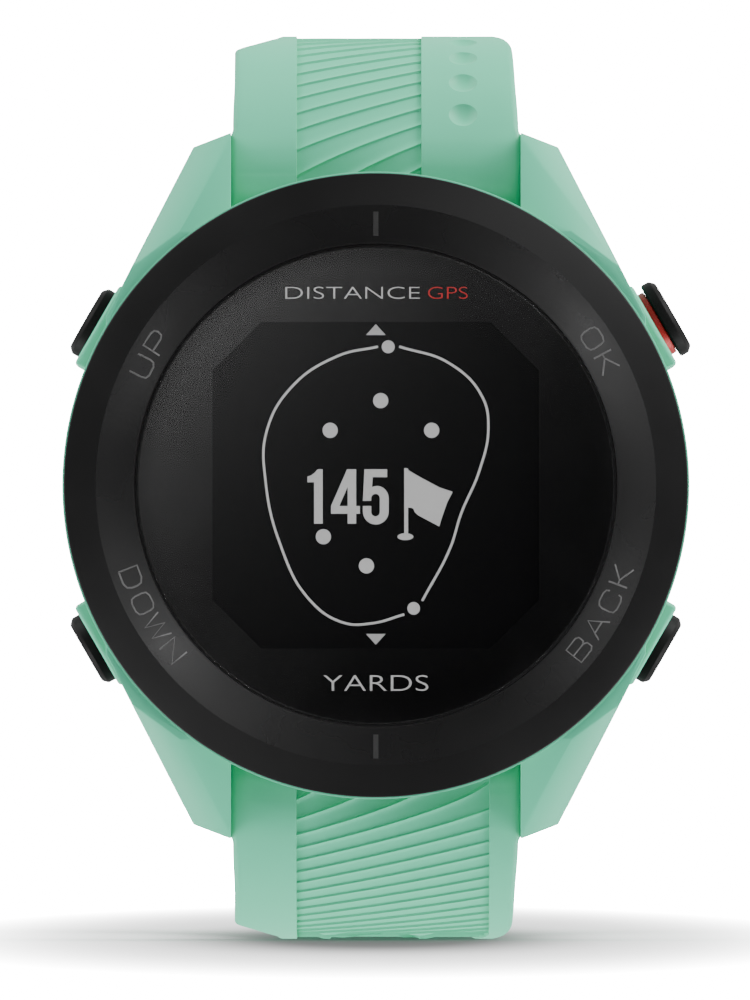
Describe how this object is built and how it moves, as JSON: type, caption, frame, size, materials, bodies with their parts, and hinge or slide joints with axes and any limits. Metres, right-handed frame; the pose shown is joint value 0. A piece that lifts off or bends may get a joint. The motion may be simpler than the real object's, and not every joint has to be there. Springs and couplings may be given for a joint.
{
  "type": "golf gps watch",
  "caption": "Round golf GPS wristwatch with push buttons, a black bezel and a grooved silicone strap with a pin buckle.",
  "frame": {"origin": "middle of the case back's flat face, the face that lies on the wrist", "axes": "+Z towards 12 o'clock, +X towards 3 o'clock as the wearer reads the dial, +Y out of the case back towards the wrist, so the dial faces -Y"},
  "size_m": [0.0438, 0.1097, 0.0634],
  "materials": {
    "mint_polymer": "fine satin texture",
    "strap_silicone": "soft matte silicone with fine moulded grooves",
    "black_polymer": "satin, fine grain on the inner ring",
    "cover_glass": "polished",
    "display": "dark display with light grey graphics",
    "clear_guide": "clear",
    "dark_polymer": "matte",
    "seal_rubber": "matte",
    "red_anodised": "satin red anodised",
    "steel": "satin",
    "gunmetal": "satin black coating",
    "gold_plating": "bright",
    "silver_foil": "satin",
    "circuit_board": "semi-matte solder mask"
  },
  "bodies": {
    "watch_case": {"case": "mint_polymer", "bezel_ring": "black_polymer", "cover_lens": "cover_glass", "lens_gasket": "seal_rubber", "display_frame": "black_polymer", "display_panel": "display", "light_guide": "clear_guide", "gps_antenna": "gold_plating", "inner_chassis": "dark_polymer", "main_board": "circuit_board", "gps_receiver_shield": "silver_foil", "processor_chip": "dark_polymer", "battery_cell": "silver_foil", "back_cover": "dark_polymer", "back_gasket": "seal_rubber", "back_screw_1": "steel", "back_screw_2": "steel", "back_screw_3": "steel", "back_screw_4": "steel", "charge_contact_1": "gold_plating", "charge_contact_2": "gold_plating", "charge_contact_3": "gold_plating", "charge_contact_4": "gold_plating", "up_button_seal": "seal_rubber", "ok_button_seal": "seal_rubber", "down_button_seal": "seal_rubber", "back_button_seal": "seal_rubber", "up_switch": "silver_foil", "ok_switch": "silver_foil", "down_switch": "silver_foil", "back_switch": "silver_foil"},
    "up_button": {"up_button": "black_polymer", "up_button_clip": "steel"},
    "ok_button": {"ok_button": "black_polymer", "ok_button_collar": "red_anodised", "ok_button_clip": "steel"},
    "down_button": {"down_button": "black_polymer", "down_button_clip": "steel"},
    "back_button": {"back_button": "black_polymer", "back_button_clip": "steel"},
    "upper_strap": {"upper_strap": "strap_silicone", "upper_spring_bar_tube": "steel", "upper_spring_bar_tip": "steel", "fixed_keeper": "strap_silicone", "buckle_pin": "steel"},
    "lower_strap": {"lower_strap": "strap_silicone", "lower_spring_bar_tube": "steel", "lower_spring_bar_tip": "steel"},
    "upper_quick_release": {"upper_quick_release_pin": "steel"},
    "lower_quick_release": {"lower_quick_release_pin": "steel"},
    "sliding_keeper": {"sliding_keeper": "strap_silicone"},
    "strap_buckle": {"strap_buckle": "gunmetal"},
    "buckle_tang": {"buckle_tang": "gunmetal"}
  },
  "joints": [
    {"name": "up_button_press", "type": "slide", "parent": "watch_case", "child": "up_button", "axis": [0.866, 0, -0.5], "range_m": [0, 0.00045], "stiffness_N_per_m": 2500, "springref_m": -0.0003},
    {"name": "ok_button_press", "type": "slide", "parent": "watch_case", "child": "ok_button", "axis": [-0.866, 0, -0.5], "range_m": [0, 0.00045], "stiffness_N_per_m": 2500, "springref_m": -0.0003},
    {"name": "down_button_press", "type": "slide", "parent": "watch_case", "child": "down_button", "axis": [0.866, 0, 0.5], "range_m": [0, 0.00045], "stiffness_N_per_m": 2500, "springref_m": -0.0003},
    {"name": "back_button_press", "type": "slide", "parent": "watch_case", "child": "back_button", "axis": [-0.866, 0, 0.5], "range_m": [0, 0.00045], "stiffness_N_per_m": 2500, "springref_m": -0.0003},
    {"name": "upper_strap_hinge", "type": "hinge", "parent": "watch_case", "child": "upper_strap", "pos_m": [0, -0.0042, 0.0209], "axis": [1, 0, 0], "range_deg": [-6, 60]},
    {"name": "lower_strap_hinge", "type": "hinge", "parent": "watch_case", "child": "lower_strap", "pos_m": [0, -0.0042, -0.0209], "axis": [-1, 0, 0], "range_deg": [-6, 60]},
    {"name": "upper_quick_release_slide", "type": "slide", "parent": "upper_strap", "child": "upper_quick_release", "axis": [-1, 0, 0], "range_m": [0, 0.00105], "stiffness_N_per_m": 800, "springref_m": -0.0005},
    {"name": "lower_quick_release_slide", "type": "slide", "parent": "lower_strap", "child": "lower_quick_release", "axis": [-1, 0, 0], "range_m": [0, 0.00105], "stiffness_N_per_m": 800, "springref_m": -0.0005},
    {"name": "sliding_keeper_travel", "type": "hinge", "parent": "upper_strap", "child": "sliding_keeper", "pos_m": [0, 0.00731, -0.03449], "axis": [-1, 0, 0], "range_deg": [-10, 7.9]},
    {"name": "buckle_hinge", "type": "hinge", "parent": "upper_strap", "child": "strap_buckle", "pos_m": [0, 0.05646, 0.00805], "axis": [1, 0, 0], "range_deg": [-45, 45]},
    {"name": "tang_hinge", "type": "hinge", "parent": "strap_buckle", "child": "buckle_tang", "pos_m": [0, 0.05646, 0.00805], "axis": [1, 0, 0], "range_deg": [0, 90]}
  ]
}
